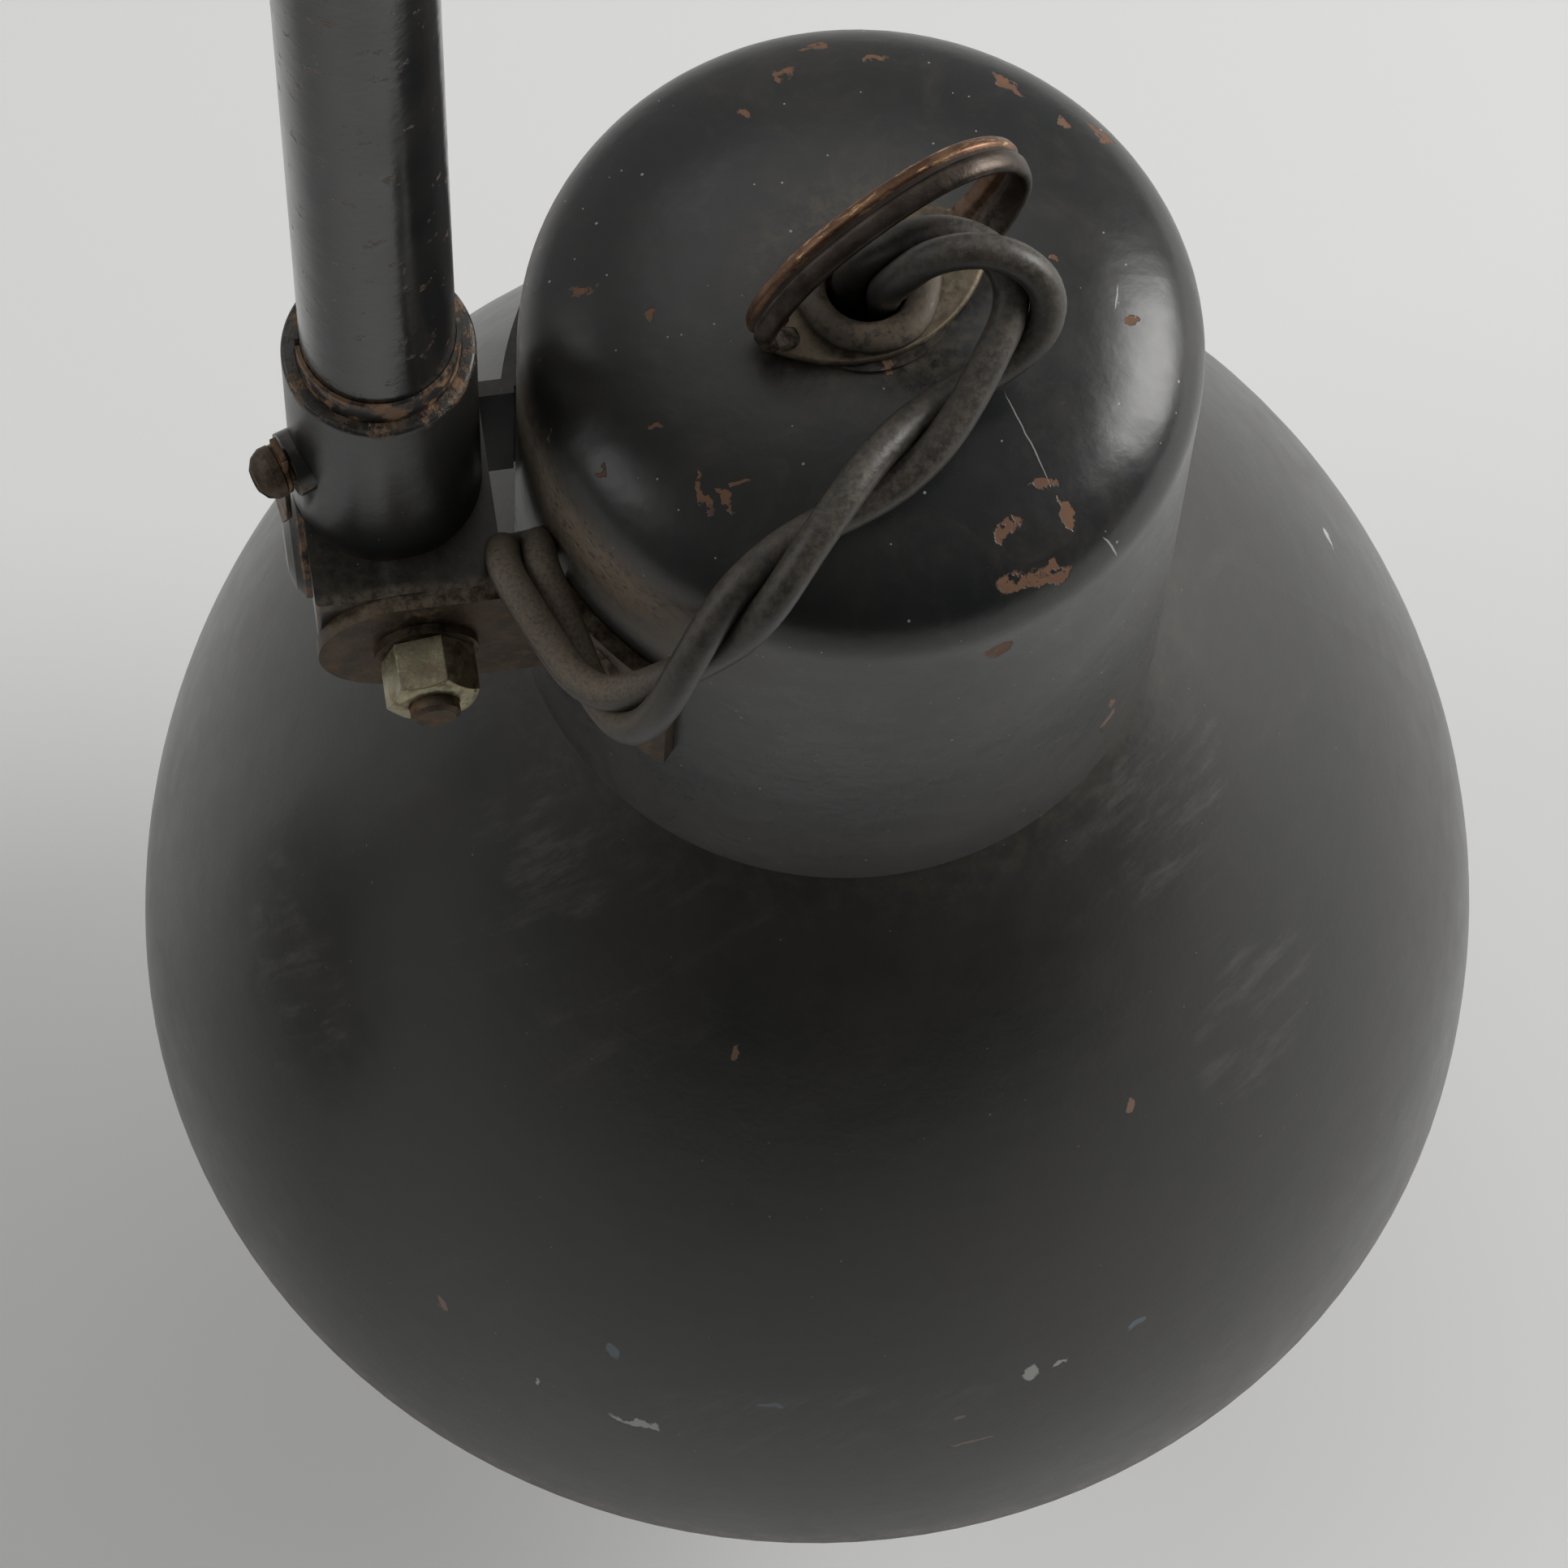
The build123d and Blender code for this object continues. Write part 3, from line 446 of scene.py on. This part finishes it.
def metal(name, bright, dark, stain, rough, dusty):
    """Old plated or bare metal: stains, dust on top and small pits."""
    kit = Kit(name)
    cloud = kit.noise(0.0045, 6, 0.65, distort=0.5)
    colour = kit.mix(kit.ramp(cloud, 0.30, 0.72), dark, bright)
    stained = kit.ramp(kit.noise(0.0030, 6, 0.7), 0.50, 0.68)
    colour = kit.mix(kit.math("MULTIPLY", stained, 0.65), colour, stain)
    grit = kit.ramp(kit.noise(0.0016, 6, 0.75), 0.38, 0.66)
    dust = kit.math("MULTIPLY", kit.ramp(kit.facing_up(), 0.2, 0.9), grit)
    dust = kit.math("MULTIPLY", dust, dusty)
    colour = kit.mix(dust, colour, DUST)
    cover = kit.most(dust, kit.math("MULTIPLY", stained, 0.8))
    rough = kit.blend(cover, rough, 0.82)
    shine = kit.math("SUBTRACT", 1, cover)
    normal = kit.bump(kit.noise(0.0007, 4, 0.65), 0.25, 0.00025)
    normal = kit.bump(kit.noise(0.0035, 4), 0.25, 0.0006, normal)
    return kit.finish(colour, rough, normal, shine)


def rubber(name, dusty, clean, dust_colour):
    """Sheath of the two cores: dark brownish rubber, pores, dust on the side that faces up."""
    kit = Kit(name)
    cloud = kit.noise(0.009, 5, 0.6)
    colour = kit.mix(kit.ramp(cloud, 0.3, 0.75), (0.023, 0.0205, 0.0175), (0.046, 0.040, 0.0335))
    grit = kit.ramp(kit.noise(0.0011, 6, 0.8), clean, clean + 0.28)
    upward = kit.ramp(kit.facing_up(), -0.1, 0.8)
    dust = kit.math("MULTIPLY", kit.math("MULTIPLY", upward, grit), dusty)
    low = kit.ramp(kit.axis(kit.place, "Z"), HEAD.z - 0.006, HEAD.z - 0.028)
    near = kit.ramp(kit.axis(kit.place, "X"), HEAD.x + 0.036, HEAD.x + 0.024)
    grains = kit.ramp(kit.noise(0.00045, 4, 0.7), 0.30, 0.62, 0.25, 0.80)
    gathered = kit.math("MULTIPLY", kit.math("MULTIPLY", low, near), kit.math("MULTIPLY", upward, grains))
    dust = kit.most(dust, gathered)
    colour = kit.mix(dust, colour, dust_colour)
    rough = kit.blend(dust, kit.blend(kit.ramp(cloud, 0.3, 0.7), 0.36, 0.50), 0.85)
    normal = kit.bump(kit.noise(0.0006, 4), 0.22, 0.0002)
    normal = kit.bump(kit.noise(0.005, 3), 0.30, 0.0006, normal)
    return kit.finish(colour, rough, normal)


def strap_finish():
    """The hanger: its back bead is rubbed to copper, its front bead is dark, painted shade darkens the
    groove between them and dust lies low on its legs.
    """
    kit = Kit("hanger_copper")
    seen = kit.moved(HANGER_PLACE, (0, SHADE_LEAN, HANGER_TURN))
    across = kit.axis(seen, "Y")
    back = kit.ramp(across, 0.0001, 0.0006)
    cloud = kit.noise(0.0045, 6, 0.65, distort=0.5)
    copper = kit.mix(kit.ramp(cloud, 0.30, 0.72), (0.110, 0.060, 0.040), (0.24, 0.140, 0.090))
    dark = kit.mix(kit.ramp(cloud, 0.30, 0.72), (0.045, 0.036, 0.030), (0.105, 0.085, 0.072))
    colour = kit.mix(back, dark, copper)
    lengthways = kit.moved((0, 0, 0), (0, 0, 0), (6, 1, 3), seen)
    rubbed = kit.ramp(kit.noise(0.0006, 5, 0.7, lengthways), 0.54, 0.64)
    middle = kit.ramp(kit.axis(seen, "Z"), 0.012, 0.018)
    bright = kit.math("MULTIPLY", kit.math("MULTIPLY", rubbed, back), middle)
    colour = kit.mix(kit.math("MULTIPLY", bright, 0.8), colour, (0.62, 0.40, 0.20))
    low = kit.ramp(kit.axis(seen, "Z"), 0.010, 0.002)
    dirt = kit.math("MULTIPLY", low, kit.ramp(kit.noise(0.0016, 6, 0.75), 0.36, 0.62))
    # Painted shade: a near-black line along the groove between the two beads, kept rough and not metal.
    between = kit.ramp(kit.math("ABSOLUTE", kit.math("SUBTRACT", across, 0.0003)), 0.00035, 0.0001)
    colour = kit.mix(kit.math("MULTIPLY", between, 0.8), colour, (0.018, 0.014, 0.011))
    colour = kit.mix(kit.math("MULTIPLY", dirt, 0.6), colour, DUST)
    # Rough and not metal: the dust low on the legs and the painted shade in the groove.
    cover = kit.most(dirt, between)
    rough = kit.blend(cover, kit.blend(bright, 0.44, 0.28), 0.85)
    normal = kit.bump(kit.noise(0.0007, 4, 0.65), 0.25, 0.00025)
    normal = kit.bump(kit.noise(0.0050, 3), 0.25, 0.0005, normal)
    return kit.finish(colour, rough, normal, kit.math("SUBTRACT", 1, cover))


def plain(name, colour, spread, rough, size, metallic=0.0, bump=0.2):
    """Mouldings, felt, porcelain and lamp cap: a little mottled, with fine bump."""
    kit = Kit(name)
    second = tuple(c * spread for c in colour)
    mottled = kit.ramp(kit.noise(size, 6, 0.65), 0.3, 0.7)
    base = kit.mix(mottled, colour, second)
    roughness = kit.blend(mottled, rough, min(1, rough + 0.12))
    normal = kit.bump(kit.noise(size * 0.25, 4, 0.6), bump, size * 0.1)
    kit.shader.inputs["Metallic"].default_value = metallic
    return kit.finish(base, roughness, normal)


def glass():
    kit = Kit("frosted_glass")
    kit.shader.inputs["Transmission Weight"].default_value = 0.35
    kit.shader.inputs["IOR"].default_value = 1.5
    film = kit.ramp(kit.noise(0.02, 5), 0.4, 0.8)
    colour = kit.mix(film, (0.86, 0.86, 0.84), (0.78, 0.77, 0.73))
    rough = kit.blend(film, 0.22, 0.34)
    return kit.finish(colour, rough, kit.bump(kit.noise(0.002), 0.05, 0.0002))


# Marks on the shade: middle from the cap's top, half sizes and turn, in millimetres and radians.
CAP_CHIPS = [
    ((-5, 31, -4), (1.5, 1.1, 2), 0.6), ((-10, 26, -3), (0.9, 0.6, 2), 0),
    ((-1, 35, -6), (1.8, 0.8, 2), 0.2), ((6, 32, -5), (1.3, 0.5, 2), 0),
    ((21, 27, -6), (2.6, 0.9, 2), -0.8), ((27, 21, -6), (1.1, 0.7, 2), -0.9),
    ((31, 20, -8), (2.2, 0.8, 2), -1.0), ((30, -6, -4), (0.9, 0.7, 2), 0),
    ((22, 2, -1), (0.6, 0.5, 2), 0), ((-32, 7, -4), (1.5, 0.6, 2), 0), ((-25, 1, -2), (0.7, 0.9, 2), 0),
    ((-26, -12, -3), (0.6, 0.5, 2), 0), ((-33, -15, -6), (0.5, 1.1, 2), 0.3),
    ((-22, -21, -3), (0.35, 2.6, 3), 0.25), ((-20, -22, -3), (0.35, 2.0, 3), 0.35),
    ((-18, -21, -3), (1.3, 0.4, 3), 0.4), ((12, -30, -4), (2.4, 0.9, 2), 0.45),
    ((13, -35, -8), (3.4, 1.0, 2), 0.1), ((17, -34, -9), (1.8, 0.8, 2), 0.4),
    ((10, -39, -18), (2.4, 4.0, 1.8), 0), ((17, -25, -4), (1.7, 0.5, 2), 0.15),
    ((19, -28, -6), (0.5, 2.2, 2), 0.25), ((-39, -9, -8), (0.8, 1.4, 2), 0),
]
CAP_SCRATCHES = [
    ((16, -20, -2), (0.10, 6.5, 4), 0.32), ((24, -31, -11), (1.5, 0.14, 3), -0.5),
    ((29, -3, -3), (0.10, 1.8, 4), -0.35),
]
BELL_CHIPS = [
    ((-22, -53, -103), (0.5, 2, 1.2), 0), ((-61, -61, -159), (0.6, 2, 1.6), 0),
    ((27, -61, -120), (0.7, 2, 0.7), 0), ((3, -85, -163), (1.2, 2, 0.4), 0),
    ((5, -86, -169), (3.4, 3, 0.4), 0), ((-35, -70, -144), (1.4, 2, 0.4), 0),
    ((45, -58, -142), (0.6, 2, 0.8), 0),
]
BELL_PALE = [
    ((66, 14, -125), (0.8, 2, 1.0), 0), ((-38, -79, -166), (3.6, 3, 0.5), 0),
    ((13, -82, -157), (1.6, 3, 1.4), 0), ((17, -81, -157), (1.4, 2, 0.5), 0),
    ((-50, -70, -164), (0.4, 2, 1.4), 0),
]
BELL_BLUE = [
    ((-21, -82, -157), (2.0, 3, 0.6), 0), ((27, -78, -156), (1.6, 3, 1.0), 0),
    ((-41, -74, -152), (1.2, 3, 1.4), 0),
]
BELL_RUBS = [
    ((36, -32, -95), (9, 15, 14), -0.5), ((-39, -27, -89), (12, 9, 9), 0.4),
    ((-75, -25, -136), (6, 17, 16), 0), ((45, -50, -122), (8, 14, 14), -0.4),
    ((-16, -84, -161), (30, 8, 10), 0),
]


# ---------------------------------------------------------------- mesh kit
def mesh_object(name, points, faces, material):
    mesh = bpy.data.meshes.new(name)
    mesh.from_pydata([tuple(p) for p in points], [], faces)
    mesh.update()
    mesh.polygons.foreach_set("use_smooth", [True] * len(mesh.polygons))
    made = bpy.data.objects.new(name, mesh)
    bpy.context.scene.collection.objects.link(made)
    mesh.materials.append(material)
    return made


def loft(name, rings, material, closed=False):
    """Skin over rings of the same number of points; a closed one joins its last ring to its first."""
    count = len(rings[0])
    points = [p for ring in rings for p in ring]
    faces = []
    spans = len(rings) if closed else len(rings) - 1
    for i in range(spans):
        a, b = i * count, ((i + 1) % len(rings)) * count
        for j in range(count):
            k = (j + 1) % count
            faces.append((a + j, a + k, b + k, b + j))
    if not closed:
        faces.append(tuple(reversed(range(count))))
        faces.append(tuple(range(len(points) - count, len(points))))
    return mesh_object(name, points, faces, material)


def read_line(points, steps=24):
    """Points along the NURBS spline that has these control points."""
    curve = bpy.data.curves.new("line", "CURVE")
    curve.dimensions = "3D"
    curve.resolution_u = steps
    spline = curve.splines.new("NURBS")
    spline.points.add(len(points) - 1)
    for target, point in zip(spline.points, points):
        target.co = (*point, 1)
    spline.order_u = 3
    spline.use_endpoint_u = True
    made = bpy.data.objects.new("line", curve)
    mesh = bpy.data.meshes.new_from_object(made)
    line = np.array([v.co for v in mesh.vertices], float)
    bpy.data.objects.remove(made)
    bpy.data.curves.remove(curve)
    bpy.data.meshes.remove(mesh)
    return line


def along(line):
    """Distance from the start to each point."""
    return np.concatenate([[0], np.cumsum(np.linalg.norm(np.diff(line, axis=0), axis=1))])


def evenly(line, spacing):
    """The same line with points that are equally far apart."""
    far = along(line)
    count = max(8, int(round(far[-1] / spacing)))
    wanted = np.linspace(0, far[-1], count + 1)
    return np.stack([np.interp(wanted, far, line[:, i]) for i in range(3)], axis=1)


def carried_frames(line, first):
    """Two directions square to the line at each point, carried along it without turning about it."""
    tangents = np.gradient(line, axis=0)
    tangents /= np.linalg.norm(tangents, axis=1)[:, None]
    side = np.array(first, float)
    sides, ups = [], []
    for tangent in tangents:
        side = side - (side @ tangent) * tangent
        side /= np.linalg.norm(side)
        sides.append(side.copy())
        ups.append(np.cross(tangent, side))
    return np.array(sides), np.array(ups)


def tube(name, line, radius, material, sides=20):
    """A round tube along a line, closed at both ends."""
    side, up = carried_frames(line, (0.31, 0.77, 0.55))
    angles = np.linspace(0, 2 * math.pi, sides, endpoint=False)
    rings = []
    for p, a, b in zip(line, side, up):
        rings.append([p + radius * (math.cos(t) * a + math.sin(t) * b) for t in angles])
    return loft(name, rings, material)


# ---------------------------------------------------------------- the flex
# Control points in millimetres from the collar's top ring: out of the grommet, over the cap,
# down in front of the neck, behind the yoke arm and into the head's block.
FLEX_ROUTE = [
    (56.5, -0.1, -5.5), (56.3, -0.6, 1.5), (58.2, -2.8, 10.0), (63.5, -3.1, 15.4), (69.8, -4.9, 16.0),
    (73.7, -8.2, 13.0), (73.4, -11.5, 9.0), (69.0, -14.8, 6.2), (63.4, -18.8, 4.7), (56.6, -24.1, 4.0),
    (50.2, -28.3, 3.2), (43.9, -32.1, 1.4), (38.2, -35.9, -2.5), (32.7, -38.6, -10.4),
    (26.8, -39.5, -20.5), (22.5, -37.6, -28.2), (19.3, -32.3, -31.6), (17.2, -26.2, -31.0),
    (15.5, -21.8, -29.2), (13.9, -17.5, -28.5), (14.2, -13.2, -32.0), (14.5, -10.6, -38.5),
    (11.0, -9.6, -41.2), (6.0, -9.5, -41.2),
]
CORE_R = 0.00212
LINE_STEP = 0.0008
SMOOTHED = 15      # points over which the twist is evened out
# How far round the pair's line the first core is: (share of the length, turns).
TWIST = [
    (0.0, 0.20), (0.05, 0.15), (0.20, -0.25), (0.30, -0.60), (0.45, -1.10), (0.60, -1.55), (0.75, -1.90),
    (0.88, -2.10), (1.0, -2.10),
]


def add_flex(material):
    line = evenly(read_line([head(*p) for p in FLEX_ROUTE]), LINE_STEP)
    far = along(line)
    side, up = carried_frames(line, (0, 1, 0))
    turns = np.interp(far / far[-1], *zip(*TWIST))
    smooth = np.ones(SMOOTHED) / SMOOTHED
    turns = np.convolve(np.pad(turns, SMOOTHED // 2, mode="edge"), smooth, mode="valid")
    phase = 2 * math.pi * turns
    for number in range(2):
        turn = phase + math.pi * number
        spread = CORE_R * 1.01
        path = line + spread * (np.cos(turn)[:, None] * side + np.sin(turn)[:, None] * up)
        core = tube(f"flex_core_{number + 1}", path, CORE_R, material)
        if number == 0:
            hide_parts("flex", "flex_tail")
        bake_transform(core)


# ---------------------------------------------------------------- hanger and grommet
# Middle of the strap: along the plate and above it, in millimetres.
HANGER_LINE = [
    (-10.4, 0.2), (-12.6, 1.6), (-14.5, 3.6), (-14.3, 6.5), (-12.4, 10.6), (-9.2, 14.6), (-5.2, 17.6),
    (-1.0, 19.8), (3.6, 21.4), (8.0, 22.2), (12.0, 21.8), (15.9, 19.8), (18.6, 16.4), (19.5, 12.6),
    (18.4, 8.6), (16.0, 4.4), (12.6, 0.3),
]


def on_hanger(u, v, w):
    """A point in metres from the plate's middle: along it, across it and above it."""
    lean = Matrix.Rotation(SHADE_LEAN, 4, "Y")
    return HANGER_PLACE + lean @ Matrix.Rotation(HANGER_TURN, 4, "Z") @ Vector((u, v, w))


def add_strap(material):
    """Bent strap with two beads along it and a groove between them; its far leg widens to the plate."""
    line = evenly(read_line([(u / 1000, 0, w / 1000) for u, w in HANGER_LINE], 12), 0.0007)
    tangents = np.gradient(line, axis=0)
    tangents /= np.linalg.norm(tangents, axis=1)[:, None]
    outline = []
    for i in range(64):
        a = 2 * math.pi * i / 64
        across, thick = math.cos(a), math.sin(a)
        groove = 0.62 * math.exp(-((across - 0.12) / 0.13) ** 2)
        outline.append((0.00245 * math.copysign(abs(across) ** 0.85, across),
                        0.00110 * math.copysign(abs(thick) ** 0.8, thick) * (1 - groove)))
    widen = 1 + 0.45 * np.clip((np.linspace(0, 1, len(line)) - 0.70) / 0.2, 0, 1)
    rings = []
    for p, t, wide in zip(line, tangents, widen):
        out = Vector((t[2], 0, -t[0])) * -1
        rings.append([on_hanger(p[0] + out.x * h, v * wide, p[2] + out.z * h) for v, h in outline])
    strap = loft("hanger_strap", rings, material)
    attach(strap, "shade")
    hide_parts("hanger")


def add_plate(material):
    """Leaf-shaped plate under the strap, bounded by two arcs, with a round hole for the grommet."""
    arc, thick, hole = 0.018, 0.001, 0.00615
    rings = []
    profile = [
        (0.0, 0.0), (0.0, 0.55), (0.02, 0.85), (0.10, 1.0), (0.5, 0.95), (0.80, 0.92), (0.90, 1.05),
        (0.96, 1.0), (1.0, 0.6), (1.0, 0.25), (0.97, 0.0), (0.5, 0.0),
    ]
    count = 120
    for share, level in profile:
        ring = []
        for i in range(count):
            a = 2 * math.pi * i / count
            c, s = math.cos(a), abs(math.sin(a))
            reach = -arc / 2 * s + math.sqrt(arc * arc - (arc / 2 * c) ** 2)
            r = hole + (reach - hole) * share
            ring.append(on_hanger(0.0012 * share + r * c, r * math.sin(a), thick * level))
        rings.append(ring)
    plate = loft("hanger_plate", rings, material, closed=True)
    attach(plate, "shade")


def add_grommet(material):
    """Soft rubber ring round the cable hole, a little uneven."""
    outline = [
        (6.03, 1.05), (7.2, 1.03), (8.2, 1.05), (8.8, 1.5), (8.8, 2.3), (8.3, 3.0), (7.5, 3.4),
        (6.5, 3.4), (5.6, 3.0), (4.95, 2.3), (4.7, 1.4), (4.85, 0.6), (5.3, 0.2), (6.03, 0.2),
    ]
    rings = []
    count = 96
    for i in range(count):
        a = 2 * math.pi * i / count
        swell = 1 + 0.018 * math.sin(3 * a + 0.7) + 0.012 * math.sin(5 * a + 2.0)
        rings.append([on_hanger(r * math.cos(a) / 1000 * (swell if r > 6.1 else 1),
                                r * math.sin(a) / 1000 * (swell if r > 6.1 else 1),
                                h / 1000 * (1 + 0.05 * math.sin(2 * a + 1.0))) for r, h in outline])
    ring = loft("grommet_ring", rings, material, closed=True)
    smooth = ring.modifiers.new("smooth", "SUBSURF")
    smooth.levels = 1
    smooth.render_levels = 1
    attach(ring, "shade")
    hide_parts("grommet")


# ---------------------------------------------------------------- finishes of the CAD nodes
def soften(node, width):
    """Small round on a CAD node's sharp edges, as real castings and pressings have."""
    made = nodes[node]
    made.data.polygons.foreach_set("use_smooth", [True] * len(made.data.polygons))
    weld = made.modifiers.new("weld", "WELD")
    weld.merge_threshold = 0.00001
    bevel = made.modifiers.new("bevel", "BEVEL")
    bevel.width = width
    bevel.segments = 2
    bevel.limit_method = "ANGLE"
    bevel.angle_limit = math.radians(35)
    normals = made.modifiers.new("normals", "WEIGHTED_NORMAL")
    normals.keep_sharp = False


def dress():
    """Gives every CAD node its finish, and returns the four that the added pieces share."""
    cap = cap_paint()
    bell = bell_paint()
    tubes = arm_paint("enamel_tube", 0.16, 0.1, chips_from=0.80)
    cast = arm_paint("enamel_cast", 0.36, 0.6)
    at_head = arm_paint("enamel_head", 0.30, 0.6, True)
    heavy = arm_paint("enamel_base", 0.42, -0.4)
    strap = strap_finish()
    brass = metal("aged_brass", (0.20, 0.115, 0.062), (0.045, 0.033, 0.025), (0.10, 0.055, 0.030),
                  0.42, 0.35)
    dusty = metal("dusty_plate", (0.20, 0.165, 0.115), (0.105, 0.085, 0.060), (0.22, 0.180, 0.125),
                  0.60, 0.9)
    yoke = metal("yoke_bar", (0.105, 0.075, 0.050), (0.048, 0.038, 0.029), (0.170, 0.095, 0.048),
                 0.50, 1.0)
    nut = metal("plated_nut", (0.46, 0.42, 0.28), (0.26, 0.235, 0.15), (0.22, 0.15, 0.075), 0.42, 0.55)
    rust = metal("rusty_screw", (0.115, 0.085, 0.060), (0.045, 0.034, 0.026), (0.20, 0.105, 0.040),
                 0.55, 0.5)
    zinc = metal("zinc_steel", (0.48, 0.48, 0.46), (0.30, 0.29, 0.27), (0.20, 0.14, 0.09), 0.35, 0.3)
    soft = rubber("rubber", 0.26, 0.38, (0.215, 0.172, 0.122))
    ring = rubber("grommet_rubber", 0.80, 0.32, (0.125, 0.095, 0.062))
    felt = plain("felt", (0.016, 0.022, 0.018), 1.8, 0.95, 0.0012, bump=0.9)
    bakelite = plain("bakelite", (0.014, 0.011, 0.009), 1.6, 0.26, 0.02, bump=0.08)
    porcelain = plain("porcelain", (0.72, 0.70, 0.65), 0.93, 0.22, 0.01, bump=0.05)
    bulb_metal = plain("bulb_metal", (0.62, 0.60, 0.55), 0.8, 0.30, 0.004, metallic=1.0, bump=0.15)
    frosted = glass()

    finishes = {
        cap: ["shade_cap"],
        bell: ["shade_bell"],
        tubes: ["upper_tube", "lower_tube", "post_tube"],
        at_head: ["head_bracket", "bracket_plug"],
        cast: ["tube_bush", "elbow_bracket", "shoulder_bracket", "elbow_fork", "post_fork"],
        heavy: ["base_casting", "yoke_rear"],
        yoke: ["yoke_front", "yoke_rivets"],
        brass: ["nipple", "nipple_locknut", "holder_shell", "holder_cover", "lock_leaf"],
        nut: ["pivot_nut"],
        rust: ["pivot_bolt", "pivot_washers", "head_lock_screw"],
        zinc: [
            "shoulder_bolt", "shoulder_nut", "shoulder_washers", "shoulder_lock_screw",
            "elbow_bolt", "elbow_nut", "elbow_washers", "elbow_lock_screw", "post_lock_screw",
            "base_plate", "base_plate_screws", "switch_nut", "switch_lever",
        ],
        soft: ["cable_gland", "flex", "flex_tail"],
        ring: ["grommet"],
        strap: ["hanger"],
        felt: ["base_felt"],
        bakelite: ["switch_body"],
        porcelain: ["holder_insert"],
        bulb_metal: ["bulb_cap", "holder_contact"],
        frosted: ["bulb_glass"],
    }
    for material, names in finishes.items():
        for name in names:
            slots = nodes[name].data.materials
            slots.clear()
            slots.append(material)
    left = sorted(set(nodes) - {n for names in finishes.values() for n in names})
    if left:
        raise SystemExit(f"no finish for {left}")
    for name in ("head_bracket", "elbow_bracket", "shoulder_bracket", "elbow_fork", "post_fork"):
        soften(name, 0.0004)
    for name in ("pivot_nut", "pivot_bolt", "yoke_front", "yoke_rear", "lock_leaf"):
        soften(name, 0.00025)
    return strap, dusty, soft, ring


add_camera()
add_stage()
strap_metal, plate_metal, rubber_skin, ring_skin = dress()
add_flex(rubber_skin)
add_strap(strap_metal)
add_plate(plate_metal)
add_grommet(ring_skin)
